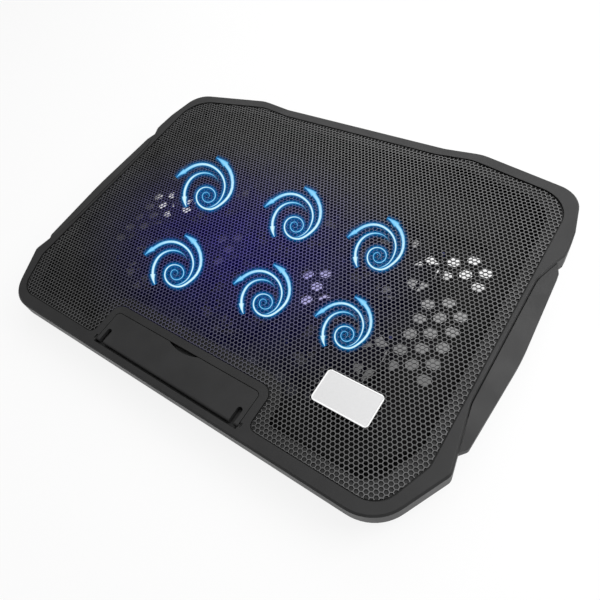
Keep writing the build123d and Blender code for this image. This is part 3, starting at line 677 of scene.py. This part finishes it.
# ---------------------------------------------------------------- lit air swirls above the fans
def smooth_arm(keys, steps_per_key=7):
    """Points along an arm, eased through its keys: columns are degrees, radius and half width."""
    keys = np.array(keys, float)
    angles = keys[:, 0]
    at = np.linspace(angles[0], angles[-1], steps_per_key * len(keys))
    slopes = np.gradient(keys[:, 1:], angles, axis=0)
    index = np.clip(np.searchsorted(angles, at, side="right") - 1, 0, len(angles) - 2)
    span = (angles[index + 1] - angles[index])[:, None]
    t = ((at - angles[index])[:, None]) / span
    a, b = keys[index, 1:], keys[index + 1, 1:]
    a_slope, b_slope = slopes[index] * span, slopes[index + 1] * span
    eased = (
        (2 * t**3 - 3 * t**2 + 1) * a
        + (t**3 - 2 * t**2 + t) * a_slope
        + (3 * t**2 - 2 * t**3) * b
        + (t**3 - t**2) * b_slope
    )
    return np.column_stack([at, eased])


def swirl_strip(eye, keys, tip, faint, fade, extra, level):
    """Vertices, faces and values of one arm with its arrow head, on the mesh."""
    arm = smooth_arm(keys)
    tip_angle, tip_radius, head = tip
    end = arm[-1]
    steps = np.linspace(0, 1, 7)
    head_part = [
        (end[0] + (tip_angle - end[0]) * t, end[1] + (tip_radius - end[1]) * t, head * (1 - t)) for t in steps
    ]
    arm = np.vstack([arm, head_part])
    turns = np.radians(arm[:, 0])
    line = np.column_stack([eye[0] + arm[:, 1] * np.cos(turns), eye[1] - arm[:, 1] * np.sin(turns)])
    ways = np.gradient(line, axis=0)
    ways[-len(steps)] = ways[-len(steps) - 1]
    ways /= np.maximum(np.linalg.norm(ways, axis=1), 1e-9)[:, None]
    sides = np.column_stack([-ways[:, 1], ways[:, 0]])
    half = (arm[:, 2] + extra)[:, None]
    left, right_side = line + sides * half, line - sides * half
    root = len(line) - len(steps)
    share = np.concatenate([np.arange(root) / root, 1 + 0.1 * steps])
    faints = np.interp(share, *np.array(faint).T)
    shown = np.clip(share / fade, 0, 1) ** 1.5
    points, strip, values = [], [], []
    for i in range(len(line)):
        for place, value in ((left[i], 1.0), (line[i], 0.0), (right_side[i], 1.0)):
            points.append(seen_on(place[0], place[1], level))
            values.append((value, faints[i], shown[i]))
    for i in range(len(line) - 1):
        a, b = 3 * i, 3 * i + 3
        strip += [(a, b, b + 1, a + 1), (a + 1, b + 1, b + 2, a + 2)]
    return points, strip, values


def swirl_layer(name, extra, lift, finish):
    """Every arm of every swirl as one thin piece at this lift, wider by this many pixels on each side."""
    points, strips, values = [], [], []
    for eye in SWIRL_EYES:
        for keys, tip, faint, fade in zip(SWIRL_ARMS, SWIRL_TIPS, SWIRL_FAINT, SWIRL_FADE):
            p, s, v = swirl_strip(eye, keys, tip, faint, fade, extra, MESH_TOP + lift)
            strips += [tuple(len(points) + i for i in face) for face in s]
            points += p
            values += v
    values = dict(zip(SWIRL_VALUES, np.array(values).T))
    return piece(name, points, strips, finish, "pad", values)


swirl_layer("swirl_cores", 0.0, 2 * SWIRL_LIFT, swirl_core)
swirl_layer("swirl_halos", SWIRL_HALO, SWIRL_LIFT, swirl_halo)


# ---------------------------------------------------------------- screws
def screw_head(centre, radius, dome, facing, sides=24, rings=4):
    """A pan head with a cross recess: vertices and faces. facing is +1 for up and -1 for down."""
    points, mesh = [], []
    for ring in range(rings + 1):
        angle = math.pi / 2 * ring / rings
        r, h = radius * math.cos(angle * 0.92), dome * math.sin(angle)
        for k in range(sides):
            turn = 2 * math.pi * k / sides
            arm = min(abs(math.sin(2 * turn)), 1.0)
            sunk = 0.45 * dome if ring >= rings - 1 and arm < 0.5 else 0.0
            x, y = centre[0] + r * math.cos(turn), centre[1] + r * math.sin(turn)
            points.append((x, y, centre[2] + facing * (h - sunk)))
    for ring in range(rings):
        for k in range(sides):
            j = (k + 1) % sides
            low, high = ring * sides, (ring + 1) * sides
            mesh.append((low + k, low + j, high + j, high + k))
    points.append((centre[0], centre[1], centre[2] + facing * dome * 0.5))
    for k in range(sides):
        mesh.append((rings * sides + k, rings * sides + (k + 1) % sides, len(points) - 1))
    return points, mesh


flange_bottom = frame_low.z
screws, screw_faces = [], []
for side in (-1, 1):
    for x, back in SHELL_SCREWS:
        head, mesh = screw_head((side * x, FRONT_Y + back, flange_bottom), SCREW_HEAD, SCREW_DOME, -1)
        screw_faces += [tuple(len(screws) + i for i in face) for face in mesh]
        screws += head
piece("shell_screw_heads", screws, screw_faces, screw_metal, "pad")


# ---------------------------------------------------------------- floor, backdrop and light
def floor_patch(s, centre, reach, least, most):
    """Share of painted white light on the floor: most round a place under the pad, falling to least away from
    it.
    """
    return s.spread(glow_share(s, centre, reach), 0.0, 0.3, least, most)


def floor_finish():
    """White floor that keeps the pad's shadow. Under the pad it has painted shade, but for patches of painted
    light below its vents, and near the fans its white has a painted blue tint.

    To the camera, straight or in a reflection, most of its white is its own and even. It is clear from
    below, and under the pad it lets bounced light through to the pad's underside.
    """
    s = Shader("floor_white")
    place = s.node("ShaderNodeSeparateXYZ", {"Vector": s.place})
    x, y = place.outputs["X"], place.outputs["Y"]
    beside = s.math("ABSOLUTE", x)
    outside_x = s.spread(beside, UNDER_PAD[0], UNDER_PAD[0] + UNDER_PAD_EDGE, 0.0, 1.0)
    outside_y = s.spread(s.math("ABSOLUTE", y), UNDER_PAD[1], UNDER_PAD[1] + UNDER_PAD_EDGE, 0.0, 1.0)
    outside = s.math("MAXIMUM", outside_x, outside_y)

    # Painted light: white patches on the floor under the vents
    right_vents = s.math("MAXIMUM", s.spread(y, *RIGHT_VENTS_FRONT_Y), s.spread(y, *RIGHT_VENTS_REAR_Y))
    right_vents = s.math("MULTIPLY", right_vents, s.spread(x, *RIGHT_VENTS_X))
    left_vents = s.math("MULTIPLY", floor_patch(s, *LEFT_VENTS), s.spread(x, *LEFT_VENTS_X))
    patches = s.math("MAXIMUM", right_vents, left_vents)
    for patch in MIDDLE_VENTS:
        patches = s.math("MAXIMUM", patches, floor_patch(s, *patch))

    path = s.node("ShaderNodeLightPath")
    seen = s.math("MAXIMUM", path.outputs["Is Camera Ray"], path.outputs["Is Glossy Ray"])
    seen = s.math("MAXIMUM", seen, path.outputs["Is Transmission Ray"])
    shown = s.math("MAXIMUM", s.math("MULTIPLY", outside, FLOOR_WHITE), patches)
    # Painted blue light of the fans in the floor's white
    near_fans = s.math("MULTIPLY", glow_share(s, GLOW_PLACE, GLOW_REACH), s.spread(beside, *UNDER_FANS_X))
    colour = s.blend(near_fans, grey(1.0), UNDER_FANS_TINT)
    backdrop_and_painted_light = s.node("ShaderNodeEmission", {"Color": colour, "Strength": 1.0})
    # Painted shade: the floor's own colour is near black under the pad
    s.set(Base_Color=s.blend(outside, grey(0.02), grey(0.95)), Roughness=0.9)
    lit = s.node("ShaderNodeMixShader", {"Fac": s.math("MULTIPLY", seen, shown)})
    s.links.new(s.surface.outputs[0], lit.inputs[1])
    s.links.new(backdrop_and_painted_light.outputs[0], lit.inputs[2])

    below = s.node("ShaderNodeNewGeometry").outputs["Backfacing"]
    bounced = s.math("MULTIPLY", path.outputs["Is Diffuse Ray"], s.math("SUBTRACT", 1.0, outside))
    clear = s.node("ShaderNodeBsdfTransparent")
    surface = s.node("ShaderNodeMixShader", {"Fac": s.math("MAXIMUM", below, bounced)})
    s.links.new(lit.outputs[0], surface.inputs[1])
    s.links.new(clear.outputs[0], surface.inputs[2])
    s.links.new(surface.outputs[0], s.output.inputs["Surface"])
    return s.material


floor_data = bpy.data.meshes.new("floor")
floor_corners = [
    (across * FLOOR_REACH, along * FLOOR_REACH, FLOOR_LEVEL)
    for across, along in ((-1, -1), (1, -1), (1, 1), (-1, 1))
]
floor_data.from_pydata(floor_corners, [], [(0, 1, 2, 3)])
floor_data.materials.append(floor_finish())
floor = bpy.data.objects.new("floor", floor_data)
bpy.context.scene.collection.objects.link(floor)

# The world is white to the camera and through glass, and dimmer as a light
world = bpy.data.worlds.new("studio")
bpy.context.scene.world = world
world.use_nodes = True
tree = world.node_tree
background = tree.nodes["Background"]
path = tree.nodes.new("ShaderNodeLightPath")
seen = tree.nodes.new("ShaderNodeMath")
seen.operation = "MAXIMUM"
tree.links.new(path.outputs["Is Camera Ray"], seen.inputs[0])
tree.links.new(path.outputs["Is Transmission Ray"], seen.inputs[1])
level = tree.nodes.new("ShaderNodeMapRange")
level.inputs["To Min"].default_value = WORLD_LIGHT
level.inputs["To Max"].default_value = 1.0
tree.links.new(seen.outputs[0], level.inputs["Value"])
tree.links.new(level.outputs["Result"], background.inputs["Strength"])
background.inputs["Color"].default_value = (1.0, 1.0, 1.0, 1.0)

for name, (place, target, size, power) in LAMPS.items():
    lamp_data = bpy.data.lights.new(name, "AREA")
    lamp_data.shape = "RECTANGLE"
    lamp_data.size, lamp_data.size_y = size
    lamp_data.energy = power
    lamp = bpy.data.objects.new(name, lamp_data)
    facing = (Vector(target) - Vector(place)).to_track_quat("-Z", "Y").to_matrix().to_4x4()
    lamp.matrix_world = Matrix.Translation(place) @ facing
    bpy.context.scene.collection.objects.link(lamp)

bpy.context.scene.view_settings.view_transform = "Standard"
